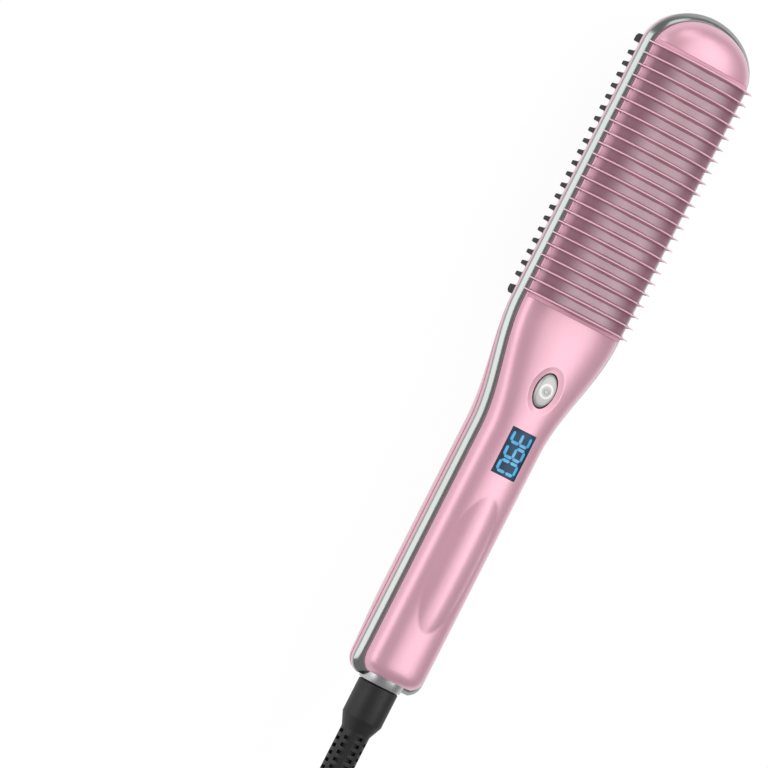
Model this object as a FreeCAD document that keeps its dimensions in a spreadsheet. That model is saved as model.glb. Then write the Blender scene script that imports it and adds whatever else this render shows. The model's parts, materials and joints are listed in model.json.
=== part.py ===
"""Hair straightening brush: a heated finned head with a comb behind it, on a slim handle.

The brush is laid out along X, from the end of the handle (zero) to the tip of the head.
Y runs across it, and Z is zero in the plane of the side trim, with the front face up.
Every sub-part is then shifted so that the comb stands on the XY plane, under the middle.
"""
import FreeCAD
import Part
import Sketcher
import math
import os
import re
from types import SimpleNamespace

Vector = FreeCAD.Vector

SIZES = {
    # Outer form of the casing
    "body_length": 276.0,
    "shell_end": 1.3,
    "end_corner": 9.0,
    "end_inset": 1.5,
    "handle_width": 31.2,
    "head_width": 48.0,
    "neck_start": 103.0,
    "neck_end": 152.0,
    "tip_length": 19.0,
    "tip_cap_share": 0.99,
    "front_height": 10.0,
    "front_tip_length": 13.0,
    "head_back_depth": 12.6,
    "back_tip_length": 11.0,
    "ridge_depth": 17.4,
    "scallop_depth": 3.0,
    "scallop_width": 22.0,
    "scallop_pitch": 25.6,
    "scallop_start": 39.8,
    "scallop_count": 4,
    "front_power": 2.5,
    "back_power": 2.7,
    "tip_power": 2.0,
    "side_tip_power": 2.2,
    "end_power": 3.0,
    # Casing shells
    "front_step": 2.2,
    "shell_wall": 2.2,
    "back_wall": 3.2,
    "seam_depth": 5.3,
    "seam_width": 0.7,
    "seam_groove": 0.7,
    "trim_height": 3.6,
    "trim_depth": 3.4,
    "trim_proud": 0.6,
    "thumb_start": 25.0,
    "thumb_length": 56.5,
    "thumb_width": 12.1,
    "thumb_rise": 1.5,
    "thumb_root": 1.7,
    # Clearances and cuts
    "seat_clearance": 0.1,
    "running_clearance": 0.08,
    "moving_clearance": 0.3,
    "cut_overrun": 2.0,
    # Heating plate and its fins
    "plate_start": 153.4,
    "rail_height": 3.3,
    "fin_start": 155.4,
    "fin_pitch": 4.64,
    "fin_count": 23,
    "fin_top": 16.6,
    "fin_reach": 24.6,
    "fin_root": 1.5,
    "pad_width": 22.0,
    "pad_floor": 4.6,
    # Heater stack under the plate
    "heater_length": 28.0,
    "heater_width": 16.0,
    "heater_thickness": 2.4,
    "heater_gap": 4.0,
    "heater_count": 3,
    "film_thickness": 0.3,
    "clamp_thickness": 2.0,
    "shield_thickness": 0.8,
    "shield_width": 34.0,
    "sensor_radius": 1.0,
    "sensor_length": 8.0,
    "sensor_lead_radius": 0.5,
    "heater_screw_spread": 14.0,
    "heater_screw_inset": 3.5,
    # Comb
    "comb_start": 144.6,
    "comb_length": 123.4,
    "comb_width": 30.0,
    "comb_end_round": 10.0,
    "comb_base": 1.6,
    "tooth_start": 160.0,
    "tooth_count": 21,
    "row_count": 3,
    "row_pitch": 9.9,
    "tooth_width": 4.15,
    "tooth_thickness": 2.4,
    "tooth_reach": 33.5,
    "shoulder_start": 24.4,
    "shoulder_end": 28.9,
    "tooth_neck": 2.1,
    "tooth_tip": 1.6,
    "end_tooth_offset": 5.4,
    "end_tooth_root": 4.9,
    "end_tooth_tip": 3.3,
    "end_tooth_chamfer": 1.6,
    # Board and what it carries
    "board_start": 58.0,
    "board_length": 82.0,
    "board_width": 20.0,
    "board_thickness": 1.6,
    "board_floor": 0.4,
    "window_center": 99.0,
    "window_length": 18.4,
    "window_width": 10.7,
    "display_length": 23.0,
    "display_width": 12.0,
    "display_height": 4.9,
    "capacitor_length": 13.0,
    "capacitor_width": 5.0,
    "capacitor_height": 4.0,
    "triac_length": 6.5,
    "triac_width": 6.0,
    "triac_height": 2.4,
    "fuse_length": 9.0,
    "fuse_radius": 1.6,
    "component_start": 66.0,
    "component_spread": 10.0,
    # Power button and switch
    "button_center": 125.0,
    "button_length": 13.3,
    "button_width": 8.2,
    "button_top": 10.5,
    "button_crown": 26.0,
    "button_travel": 0.6,
    "button_skirt": 0.8,
    "button_flange": 1.0,
    "button_clearance": 0.25,
    "dish_length": 19.4,
    "dish_width": 13.6,
    "dish_depth": 1.3,
    "pad_margin": 1.6,
    "button_pad_floor": 6.4,
    "switch_length": 6.0,
    "switch_height": 2.5,
    "plunger_radius": 1.5,
    "plunger_length": 1.8,
    # Cord entry
    "boot_axis": 2.5,
    "boot_radius": 7.95,
    "boot_straight": 14.4,
    "boot_taper": 4.7,
    "relief_radius": 5.75,
    "relief_length": 36.0,
    "relief_bore": 3.2,
    "slot_pitch": 3.0,
    "slot_width": 1.2,
    "slot_across": 2.3,
    "slot_count": 11,
    "slot_turn": 45.0,
    "slot_web": 3.9,
    "collar_radius": 8.4,
    "collar_flare": 9.6,
    "collar_length": 7.6,
    "core_radius": 5.0,
    "core_bore": 2.6,
    "core_insert": 8.0,
    "core_reach": 24.0,
    "core_flange": 7.2,
    "core_flange_length": 2.0,
    "ring_radius": 5.9,
    "ring_length": 3.0,
    "ring_start": 13.0,
    "ring_pitch": 5.0,
    "contact_width": 2.0,
    "contact_thickness": 0.5,
    "contact_length": 8.6,
    "holder_start": 12.6,
    "holder_length": 13.0,
    "holder_width": 15.6,
    "holder_thickness": 1.2,
    "lead_radius": 0.9,
    "lead_spread": 8.0,
    "lead_overlap": 6.0,
    # Screws
    "screw_radius": 1.0,
    "screw_head": 1.9,
    "screw_head_height": 1.4,
    "screw_length": 8.0,
    "board_screw_length": 5.0,
    "post_radius": 2.3,
    "board_screw_front": 80.0,
    "board_screw_rear": 113.4,
    "board_screw_spread": 16.0,
    "boss_split": 4.0,
    "boss_radius": 3.0,
    "boss_floor": 1.6,
    "neck_screw": 141.0,
    "neck_screw_spread": 30.0,
    "comb_screw_length": 5.0,
    "comb_screw_step": 8,
    "comb_screw_count": 3,
}

SECTION_STEPS = 16
END_STEPS = 4
NECK_STEPS = 6
TIP_STEPS = 6
TRIM_LEVEL_SHARES = (-1.0, -0.6, 0.0, 0.6, 1.0)
TRIM_BOW_SHARES = (0.2, 1.0, 0.75, 0.45, 0.1)
TRIM_STEP_SHARES = (0.0, 0.0, 0.45, 0.85, 1.0)

TRIM_TIP = "body_length - tip_length + (tip_length + trim_proud) * tip_cap_share"
SHIFT_X = f"(boot_straight + boot_taper + relief_length - ({TRIM_TIP})) / 2"
SHIFT_Z = "tooth_reach"

doc = FreeCAD.newDocument("StraighteningBrush")
sheet = doc.addObject("Spreadsheet::Sheet", "Sizes")
for row, (name, number) in enumerate(SIZES.items(), start=1):
    sheet.set(f"A{row}", name)
    sheet.set(f"B{row}", str(number))
    sheet.setAlias(f"B{row}", name)
doc.recompute()
size = SimpleNamespace(**{name: float(sheet.get(name)) for name in SIZES})


def tied(formula):
    """A formula in the sheet's names, as an expression of the document."""
    return re.sub(r"[a-z]+(_[a-z]+)+", lambda found: "Sizes." + found.group(0), formula)


def bind(item, formulas):
    """Tie properties of an object to formulas in the sheet's names."""
    for prop, formula in formulas.items():
        item.setExpression(prop, tied(formula))


def place(item, x="0", y="0", z="0"):
    """Put an object at a place of the layout, shifted into the part's frame."""
    bind(item, {
        "Placement.Base.x": f"{SHIFT_X} + {x}",
        "Placement.Base.y": y,
        "Placement.Base.z": f"{SHIFT_Z} + {z}",
    })


def block(name, x, y, z, length, width, height):
    """A box centred on y, from x and z upwards."""
    item = doc.addObject("Part::Box", name)
    bind(item, {"Length": length, "Width": width, "Height": height})
    place(item, x, f"{y} - ({width}) / 2", z)
    return item


def rod(name, axis, x, y, z, radius, length):
    """A cylinder from a place along an axis."""
    item = doc.addObject("Part::Cylinder", name)
    item.Placement = FreeCAD.Placement(Vector(), FreeCAD.Rotation(Vector(0, 0, 1), axis))
    bind(item, {"Radius": radius, "Height": length})
    place(item, x, y, z)
    return item


def cut(name, base, tool):
    """One object less another."""
    item = doc.addObject("Part::Cut", name)
    item.Base = base
    item.Tool = tool
    return item


def common(name, base, tool):
    """What two objects share."""
    item = doc.addObject("Part::Common", name)
    item.Base = base
    item.Tool = tool
    return item


def fuse(name, items):
    """Several objects joined into one solid."""
    item = doc.addObject("Part::MultiFuse", name)
    item.Shapes = items
    return item


def group(name, items):
    """Several separate solids in one sub-part."""
    item = doc.addObject("Part::Compound", name)
    item.Links = items
    return item


def oval(name, x, z, length, width, height):
    """An upright elliptical block, centred on x."""
    rim = doc.addObject("Part::Ellipse", f"{name}_rim")
    bind(rim, {"MajorRadius": f"({length}) / 2", "MinorRadius": f"({width}) / 2"})
    place(rim, x, "0", z)
    item = doc.addObject("Part::Extrusion", name)
    item.Base = rim
    item.DirMode = "Custom"
    item.Dir = Vector(0, 0, 1)
    item.Solid = True
    bind(item, {"LengthFwd": height})
    return item


def sketch_outline(body, role, name, corners):
    """A closed outline of straight lines, each corner tied to formulas of the sheet."""
    sketch = body.newObject("Sketcher::SketchObject", name)
    plane = next(item for item in body.Origin.OriginFeatures if item.Role == role)
    sketch.AttachmentSupport = (plane, [""])
    sketch.MapMode = "FlatFace"
    turn = 2 * math.pi / len(corners)
    ring = [Vector(math.cos(turn * step), math.sin(turn * step), 0) for step in range(len(corners))]
    for start, stop in zip(ring, ring[1:] + ring[:1]):
        sketch.addGeometry(Part.LineSegment(start, stop))
    for index in range(len(corners)):
        following = (index + 1) % len(corners)
        sketch.addConstraint(Sketcher.Constraint("Coincident", index, 2, following, 1))
    for index, corner in enumerate(corners):
        for kind, formula, start in zip(("DistanceX", "DistanceY"), corner, ring[index]):
            number = sketch.addConstraint(Sketcher.Constraint(kind, -1, 1, index, 1, start))
            sketch.setExpression(f"Constraints[{number}]", tied(formula))
    return sketch


def turned(name, corners):
    """A body turned about the cord's axis, from corners given along it and out from it."""
    body = doc.addObject("PartDesign::Body", name)
    sketch = sketch_outline(body, "XZ_Plane", f"{name}_profile", corners)
    turn = body.newObject("PartDesign::Revolution", f"{name}_turn")
    turn.Profile = sketch
    turn.ReferenceAxis = (sketch, ["H_Axis"])
    turn.Angle = 360
    place(body, "0", "0", "-boot_axis")
    return body


def ease(share):
    """A smooth step from 0 to 1."""
    share = min(max(share, 0), 1)
    return share * share * (3 - 2 * share)


def rounded(distance, length, power):
    """Share of the full size that is left at a distance from a rounded end."""
    gap = 1 - min(max(distance / length, 0), 1)
    return (1 - gap ** power) ** (1 / power)


def handle_end(x, inset):
    """Share of the full section near the rounded end of the handle."""
    return rounded(x - size.shell_end + size.end_inset - inset, size.end_corner, size.end_power)


def half_width(x, inset):
    """Half the width of the casing at x."""
    neck = ease((x - size.neck_start) / (size.neck_end - size.neck_start))
    full = (size.handle_width + (size.head_width - size.handle_width) * neck) / 2 - inset
    tip = rounded(size.body_length - inset - x, size.tip_length - inset, size.tip_power)
    return full * tip * handle_end(x, inset)


def front_rise(x, inset, end):
    """Height of the front face at x, on a form whose tip stands back by end."""
    tip = rounded(size.body_length - end - x, size.front_tip_length, size.side_tip_power)
    return (size.front_height - inset) * tip * handle_end(x, end)


def back_fall(x, inset, end):
    """Depth of the back at x: its ridges outside, and straight under the scallops inside."""
    neck = ease((x - size.neck_start) / (size.neck_end - size.neck_start))
    handle = size.ridge_depth if inset == 0 else size.ridge_depth - size.scallop_depth
    depth = handle + (size.head_back_depth - handle) * neck
    tip = rounded(size.body_length - end - x, size.back_tip_length, size.side_tip_power)
    return (depth - inset) * tip * handle_end(x, end)


def stretches(inset):
    """Stretches of the casing along its length, each with the places of its sections."""
    start = size.shell_end + inset
    corner = start + size.end_corner - size.end_inset
    tip = size.body_length - size.tip_length
    reach = size.tip_length - inset
    last = math.asin(size.tip_cap_share)
    span = size.neck_end - size.neck_start
    return [
        [start + (corner - start) * (step / END_STEPS) ** 2 for step in range(END_STEPS + 1)],
        [corner, size.neck_start],
        [size.neck_start + span * step / NECK_STEPS for step in range(NECK_STEPS + 1)],
        [size.neck_end, tip],
        [tip + reach * math.sin(last * step / TIP_STEPS) for step in range(TIP_STEPS + 1)],
    ]


def section(x, side, front, back):
    """One closed section of the casing form, front half and back half."""
    half = half_width(x, side)
    halves = (
        (front_rise(x, front, side), size.front_power, 1),
        (back_fall(x, back, side), size.back_power, -1),
    )
    edges = []
    for height, power, sign in halves:
        points = []
        for step in range(SECTION_STEPS + 1):
            angle = math.pi * step / SECTION_STEPS
            across = math.cos(angle)
            up = math.sin(angle)
            radius = ((abs(across) / half) ** power + (up / height) ** power) ** (-1 / power)
            points.append(Vector(x, sign * radius * across, sign * radius * up))
        curve = Part.BSplineCurve()
        knots = [step / SECTION_STEPS for step in range(SECTION_STEPS + 1)]
        curve.interpolate(Points=points, Parameters=knots)
        edges.append(curve.toShape())
    return Part.Wire(edges)


def form(side=0.0, front=0.0, back=0.0):
    """The casing form as a solid, set in from the outside by three wall thicknesses."""
    solids = []
    for places in stretches(side):
        wires = [section(x, side, front, back) for x in places]
        solids.append(Part.makeLoft(wires, True, len(wires) == 2))
    return solids[0].fuse(solids[1:])


def plan_wire(inset, height):
    """The casing's outline at a height near the plane of the trim, set in by an inset."""
    sides = []
    for sign in (1, -1):
        edges = []
        for places in stretches(inset):
            points = [Vector(x, sign * half_width(x, inset), height) for x in places]
            curve = Part.BSplineCurve()
            curve.interpolate(points)
            edges.append(curve.toShape())
        sides.append(edges)
    left, right = sides
    tip = Part.makeLine(left[-1].Vertexes[-1].Point, right[-1].Vertexes[-1].Point)
    end = Part.makeLine(right[0].Vertexes[0].Point, left[0].Vertexes[0].Point)
    return Part.Wire(left + [tip] + right[::-1] + [end])


def slab(low, high):
    """A block that spans the whole casing between two heights."""
    over = size.cut_overrun
    reach = size.head_width + 2 * over
    start = Vector(-over, -reach / 2, low)
    return Part.makeBox(size.body_length + 2 * over, reach, high - low, start)


def side_groove(low, high, depth):
    """What a groove of a given depth takes away round the side of the casing."""
    core = Part.Face(plan_wire(depth, low)).extrude(Vector(0, 0, high - low))
    return slab(low, high).cut(core)


def upright(x, y, low, high, radius):
    """An upright cylinder for bosses and holes."""
    return Part.makeCylinder(radius, high - low, Vector(x, y, low))


def shaped(name, shape):
    """A sub-part whose shape is worked out by the functions here."""
    item = doc.addObject("Part::Feature", name)
    item.Shape = shape
    item.Placement.Base = Vector(shift_x, 0, size.tooth_reach)
    return item


def ellipse_block(x, low, high, length, width):
    """An upright elliptical block, worked out for cutting the casing."""
    rim = Part.Ellipse(Vector(x, 0, low), length / 2, width / 2).toShape()
    return Part.Face(Part.Wire(rim)).extrude(Vector(0, 0, high - low))


def centred_block(x, y, low, high, length, width):
    """A box centred on x and y, worked out for cutting the casing."""
    return Part.makeBox(length, width, high - low, Vector(x - length / 2, y - width / 2, low))


def collar_cone(clearance):
    """The flared cone of the cord collar, grown by a clearance."""
    axis = Vector(0, 0, -size.boot_axis)
    slope = (size.collar_flare - size.collar_radius) / size.collar_length
    return Part.makeCone(
        size.collar_radius + clearance,
        size.collar_flare + clearance + slope * clearance,
        size.collar_length + clearance,
        axis,
        Vector(1, 0, 0),
    )


def scallops():
    """Rods that cut the finger scallops across the back of the handle."""
    radius = (size.scallop_width ** 2 / 4 + size.scallop_depth ** 2) / (2 * size.scallop_depth)
    height = -size.ridge_depth + size.scallop_depth - radius
    rods = []
    for number in range(int(size.scallop_count)):
        x = size.scallop_start + number * size.scallop_pitch
        start = Vector(x, -size.head_width / 2, height)
        rods.append(Part.makeCylinder(radius, size.head_width, start, Vector(0, 1, 0)))
    return rods


trim_tip = size.body_length - size.tip_length + (size.tip_length + size.trim_proud) * size.tip_cap_share
shift_x = (size.boot_straight + size.boot_taper + size.relief_length - trim_tip) / 2
trim_half = size.trim_height / 2
overrun = size.cut_overrun
fin_end = size.fin_start + (size.fin_count - 1) * size.fin_pitch
plate_end = fin_end + size.fin_start - size.plate_start
outer_form = form().cut(scallops())
inner_form = form(size.shell_wall, size.shell_wall, size.back_wall)
hollow_form = outer_form.cut(inner_form)
front_form = form(size.front_step)
front_room = form(size.front_step + size.shell_wall, size.shell_wall, size.back_wall)
screw_places = [
    (size.scallop_start, 0.0),
    (size.neck_screw, size.neck_screw_spread / 2),
    (size.neck_screw, -size.neck_screw_spread / 2),
]
post_places = [
    (size.board_screw_front, 0.0),
    (size.board_screw_rear, size.board_screw_spread / 2),
    (size.board_screw_rear, -size.board_screw_spread / 2),
]
pilot_radius = size.screw_radius + size.seat_clearance / 2
COMB_PILOT_LOW = size.back_wall - size.head_back_depth - size.comb_screw_length


def plate_window(clearance):
    """The space that the heating plate takes in the front of the head."""
    start = size.plate_start - clearance
    length = plate_end - size.plate_start + 2 * clearance
    low = size.rail_height - clearance
    corner = Vector(start, -size.head_width, low)
    return Part.makeBox(length, 2 * size.head_width, size.front_height + overrun - low, corner)


def thumb_swell():
    """The raised thumb rest on the front of the handle, the cap of a stretched ball."""
    half_chord = size.thumb_width / 2
    radius = (half_chord ** 2 + size.thumb_rise ** 2) / (2 * size.thumb_rise)
    ball = Part.makeSphere(radius)
    stretch = FreeCAD.Matrix()
    stretch.scale(Vector(size.thumb_length / size.thumb_width, 1, 1))
    ball = ball.transformGeometry(stretch)
    center = size.thumb_start + size.thumb_length / 2
    ball.translate(Vector(center, 0, size.front_height + size.thumb_rise - radius))
    low = size.front_height - size.thumb_root
    return ball.common(centred_block(center, 0, low, low + radius, size.body_length, size.handle_width))


def make_front_shell():
    """Front casing with its windows, the button dish, posts for the board and screw bosses."""
    room = front_form.common(slab(trim_half, size.front_height + overrun))
    shell = room.cut(front_room)
    posts = [
        upright(x, y, size.board_floor + size.board_thickness, size.front_height, size.post_radius)
        for x, y in post_places
    ]
    bosses = [
        upright(x, y, -size.boss_split, size.front_height, size.boss_radius) for x, y in screw_places
    ]
    pad = ellipse_block(
        size.button_center,
        size.button_pad_floor,
        size.front_height,
        size.dish_length + size.pad_margin,
        size.dish_width + size.pad_margin,
    )
    head_room = front_form.cut(slab(-size.ridge_depth - overrun, -size.boss_split))
    shell = shell.fuse([post.common(room) for post in posts])
    shell = shell.fuse([boss.common(head_room) for boss in bosses])
    shell = shell.fuse([pad.common(room), thumb_swell()])
    clear = size.seat_clearance
    dish = ellipse_block(
        size.button_center,
        size.front_height - size.dish_depth,
        size.front_height + overrun,
        size.dish_length,
        size.dish_width,
    )
    button_hole = ellipse_block(
        size.button_center,
        size.button_pad_floor - overrun,
        size.front_height + overrun,
        size.button_length + 2 * size.button_clearance,
        size.button_width + 2 * size.button_clearance,
    )
    window = centred_block(
        size.window_center,
        0,
        size.front_height - size.shell_wall - overrun,
        size.front_height + overrun,
        size.window_length + 2 * clear,
        size.window_width + 2 * clear,
    )
    pilots = [upright(x, y, 0, size.screw_length - overrun, pilot_radius) for x, y in post_places]
    pilots += [upright(x, y, -size.boss_split, size.screw_length, pilot_radius) for x, y in screw_places]
    return shell.cut([plate_window(clear), dish, button_hole, window, collar_cone(clear)] + pilots)


def make_middle_frame():
    """The band under the trim, grooved at the seam with the rear shell."""
    band = hollow_form.common(slab(-size.seam_depth, -trim_half))
    seam = side_groove(-size.seam_depth, -size.seam_depth + size.seam_width, size.seam_groove)
    return band.cut([seam, collar_cone(size.seat_clearance)])


def comb_face(margin):
    """The comb's outline from behind: straight sides and elliptical ends."""
    half = size.comb_width / 2 + margin
    start = size.comb_start + size.comb_end_round
    stop = size.comb_start + size.comb_length - size.comb_end_round
    reach = size.comb_end_round + margin
    edges = [Part.LineSegment(Vector(start, half, 0), Vector(stop, half, 0)).toShape()]
    edges.append(Part.LineSegment(Vector(start, -half, 0), Vector(stop, -half, 0)).toShape())
    for middle, first in ((start, math.pi / 2), (stop, -math.pi / 2)):
        rim = Part.Ellipse(Vector(middle, half, 0), Vector(middle + reach, 0, 0), Vector(middle, 0, 0))
        edges.append(rim.toShape(first + math.pi / 2, first + 3 * math.pi / 2))
    return Part.Face(Part.Wire(Part.__sortEdges__(edges)))


def comb_block(margin):
    """A deep block of the comb's outline, below the trim plane."""
    face = comb_face(margin)
    face.translate(Vector(0, 0, -size.head_back_depth - overrun))
    return face.extrude(Vector(0, 0, size.head_back_depth + overrun - size.seam_depth))


def back_at(across):
    """Depth of the back of the head at a distance from its middle."""
    share = abs(across) / (size.head_width / 2)
    return size.head_back_depth * (1 - share ** size.back_power) ** (1 / size.back_power)


def comb_screw_places():
    """Teeth of the middle row that take a screw from inside."""
    first = (size.tooth_count - 1) / 2 - size.comb_screw_step * (size.comb_screw_count - 1) / 2
    steps = [first + size.comb_screw_step * number for number in range(int(size.comb_screw_count))]
    return [size.tooth_start + size.fin_pitch * step for step in steps]


def make_rear_shell(seat_form):
    """Rear casing with the seat of the comb and the bosses of the casing screws."""
    low = -size.ridge_depth - overrun
    shell = hollow_form.common(slab(low, -size.seam_depth))
    room = outer_form.common(slab(low, -size.boss_split))
    bosses = [upright(x, y, low, -size.boss_split, size.boss_radius) for x, y in screw_places]
    shell = shell.fuse([boss.common(room) for boss in bosses])
    seat = comb_block(size.seat_clearance).cut(seat_form)
    head_radius = size.screw_head + size.moving_clearance
    holes = [upright(x, y, low, -size.boss_split - size.boss_floor, head_radius) for x, y in screw_places]
    holes += [upright(x, y, low, 0, pilot_radius) for x, y in screw_places]
    holes += [upright(x, 0, low, 0, pilot_radius) for x in comb_screw_places()]
    return shell.cut([seat, collar_cone(size.seat_clearance)] + holes)


def tooth(x, row):
    """One regular tooth: a wide blade with a curved shoulder and a slim tip."""
    across = row * size.row_pitch
    root = -back_at(across) + size.comb_base / 2
    half = size.tooth_width / 2
    neck = size.tooth_neck / 2
    tip = size.tooth_tip / 2
    middle = (size.shoulder_start + size.shoulder_end) / 2
    bulge = (half + neck) / 2 + (half - neck) / 4
    y = across - size.tooth_thickness / 2
    right = Part.Arc(
        Vector(x + half, y, -size.shoulder_start),
        Vector(x + bulge, y, -middle),
        Vector(x + neck, y, -size.shoulder_end),
    )
    left = Part.Arc(
        Vector(x - neck, y, -size.shoulder_end),
        Vector(x - bulge, y, -middle),
        Vector(x - half, y, -size.shoulder_start),
    )
    corners = [
        Vector(x + neck, y, -size.shoulder_end),
        Vector(x + tip, y, -size.tooth_reach),
        Vector(x - tip, y, -size.tooth_reach),
        Vector(x - neck, y, -size.shoulder_end),
    ]
    edges = [right.toShape()]
    edges += [Part.LineSegment(a, b).toShape() for a, b in zip(corners, corners[1:])]
    edges.append(left.toShape())
    top = [Vector(x - half, y, -size.shoulder_start), Vector(x - half, y, root)]
    top += [Vector(x + half, y, root), Vector(x + half, y, -size.shoulder_start)]
    edges += [Part.LineSegment(a, b).toShape() for a, b in zip(top, top[1:])]
    return Part.Face(Part.Wire(edges)).extrude(Vector(0, size.tooth_thickness, 0))


def end_tooth(x, row, outward):
    """One straight post at an end of a row, with its outer tip corner cut off."""
    across = row * size.row_pitch
    y = across - size.tooth_thickness / 2
    root = -back_at(across) + size.comb_base / 2
    outer = x + outward * size.end_tooth_root / 2
    inner = x - outward * size.end_tooth_root / 2
    tip = outer - outward * size.end_tooth_tip
    corners = [
        Vector(inner, y, root),
        Vector(outer, y, root),
        Vector(outer, y, -size.tooth_reach + size.end_tooth_chamfer),
        Vector(outer - outward * size.end_tooth_chamfer, y, -size.tooth_reach),
        Vector(tip, y, -size.tooth_reach),
    ]
    return Part.Face(Part.makePolygon(corners + corners[:1])).extrude(Vector(0, size.tooth_thickness, 0))


def make_comb_base(seat_form):
    """The crowned base of the comb, in its seat in the rear shell."""
    base = comb_block(0).common(outer_form).cut(seat_form)
    return base.cut([upright(x, 0, COMB_PILOT_LOW, 0, pilot_radius) for x in comb_screw_places()])


def make_comb_row(number):
    """One row of teeth, standing on the base, with a post at each end."""
    row = number - (size.row_count - 1) / 2
    tooth_end = size.tooth_start + (size.tooth_count - 1) * size.fin_pitch
    teeth = [tooth(size.tooth_start + step * size.fin_pitch, row) for step in range(int(size.tooth_count))]
    teeth.append(end_tooth(size.tooth_start - size.end_tooth_offset, row, -1))
    teeth.append(end_tooth(tooth_end + size.end_tooth_offset, row, 1))
    tools = [outer_form]
    if row == 0:
        tools += [upright(x, 0, COMB_PILOT_LOW, 0, pilot_radius) for x in comb_screw_places()]
    return Part.makeCompound([tooth_solid.cut(tools) for tooth_solid in teeth])


def fin(x):
    """One crescent fin: two shallow cones back to back with a sharp rim, rooted in the plate."""
    rise = size.fin_top - size.rail_height
    radius = (rise ** 2 + size.fin_reach ** 2) / (2 * rise)
    height = size.fin_top - size.front_height
    slope = size.fin_root / 2 / height
    center = Vector(x, 0, size.fin_top - radius)
    inside = radius - height - size.shell_wall / 2
    depth = (radius - inside) * slope
    keep = slab(size.rail_height, size.fin_top + overrun)
    sides = []
    for sign in (1, -1):
        axis = Vector(sign, 0, 0)
        cone = Part.makeCone(radius, inside, depth, center, axis)
        sides.append(cone.cut(Part.makeCylinder(inside, depth, center, axis)).common(keep))
    return sides[0].fuse(sides[1]).cut(front_room)


def make_heating_plate():
    """The finned metal plate, with a flat pad underneath for the heaters."""
    body = front_form.common(plate_window(0))
    fins = [fin(size.fin_start + number * size.fin_pitch) for number in range(int(size.fin_count))]
    pad_length = plate_end - size.plate_start + 2 * overrun
    middle = (size.plate_start + plate_end) / 2
    pad = centred_block(middle, 0, size.pad_floor, size.front_height, pad_length, size.pad_width)
    bores = [upright(x, y, 0, size.screw_length, pilot_radius) for x, y in heater_screw_places()]
    return body.cut([front_room.cut(pad)] + bores).fuse(fins)


def heater_screw_places():
    """Places of the screws that hold the heater stack to the plate."""
    half = size.heater_screw_spread / 2
    ends = (size.plate_start + size.heater_screw_inset, plate_end - size.heater_screw_inset)
    return [(x, y) for x in ends for y in (-half, half)]


def make_side_trim():
    """The bright strip round the tip and down both sides, bowed and slanted towards the front."""
    half = trim_half - size.seat_clearance / 2
    levels = [half * share for share in TRIM_LEVEL_SHARES]
    shares = zip(TRIM_STEP_SHARES, TRIM_BOW_SHARES)
    insets = [size.front_step * step - size.trim_proud * bow for step, bow in shares]
    strip = Part.makeLoft([plan_wire(*wire) for wire in zip(insets, levels)], True, False)
    core = Part.Face(plan_wire(size.trim_depth - size.seat_clearance, -trim_half))
    return strip.cut([core.extrude(Vector(0, 0, size.trim_height)), collar_cone(size.seat_clearance)])


def make_collar():
    """The slightly flared collar in the end of the handle, with the swivel's bore."""
    axis = Vector(0, 0, -size.boot_axis)
    bore = Part.makeCylinder(
        size.core_radius + size.running_clearance,
        size.collar_length,
        axis,
        Vector(1, 0, 0),
    )
    return collar_cone(0).cut(bore)


def make_display_window():
    """The clear window, flush with the front, standing on the display."""
    low = size.board_floor + size.board_thickness + size.display_height
    window = centred_block(
        size.window_center, 0, low, size.front_height + overrun, size.window_length, size.window_width,
    )
    return window.common(front_form)


def make_board():
    """The main board, held by screws to the posts of the front shell."""
    blank = block(
        "board_blank", "board_start", "0", "board_floor", "board_length", "board_width", "board_thickness",
    )
    holes = []
    for number, (x, y) in enumerate(BOARD_SCREWS):
        name = f"board_hole_{number}"
        holes.append(rod(name, UP, x, y, "board_floor", PILOT, "board_thickness"))
    cut("main_board", blank, group("board_holes", holes))
    block(
        "display_module", "window_center - display_length / 2", "0", BOARD_TOP,
        "display_length", "display_width", "display_height",
    )
    block(
        "filter_capacitor", "component_start", "-component_spread / 2", BOARD_TOP,
        "capacitor_length", "capacitor_width", "capacitor_height",
    )
    block(
        "triac", "component_start", "component_spread / 2", BOARD_TOP,
        "triac_length", "triac_width", "triac_height",
    )
    rod(
        "board_fuse", ALONG, "component_start + triac_length + fuse_radius", "component_spread / 2",
        f"{BOARD_TOP} + fuse_radius + seat_clearance", "fuse_radius", "fuse_length",
    )


def make_button():
    """The power button with its retaining flange, the plunger under it and the switch."""
    low = "button_pad_floor - seat_clearance - button_skirt"
    cap = oval("button_cap", "button_center", low, "button_length", "button_width", "button_top")
    dome = doc.addObject("Part::Sphere", "button_dome")
    bind(dome, {"Radius": "button_crown"})
    place(dome, "button_center", "0", "button_top - button_crown")
    crowned = common("button_crowned", cap, dome)
    skirt = oval(
        "button_skirt_oval", "button_center", low,
        "button_length + 2 * button_flange", "button_width + 2 * button_flange", "button_skirt",
    )
    fuse("power_button", [crowned, skirt])
    plunger_low = f"{low} - plunger_length"
    rod("switch_plunger", UP, "button_center", "0", plunger_low, "plunger_radius", "plunger_length")
    body = block(
        "switch_body", "button_center - switch_length / 2", "0", BOARD_TOP,
        "switch_length", "switch_length", "switch_height",
    )
    well = rod(
        "switch_well", UP, "button_center", "0", f"{plunger_low} - button_travel - moving_clearance",
        "plunger_radius + running_clearance", "switch_height",
    )
    cut("tact_switch", body, well)


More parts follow.
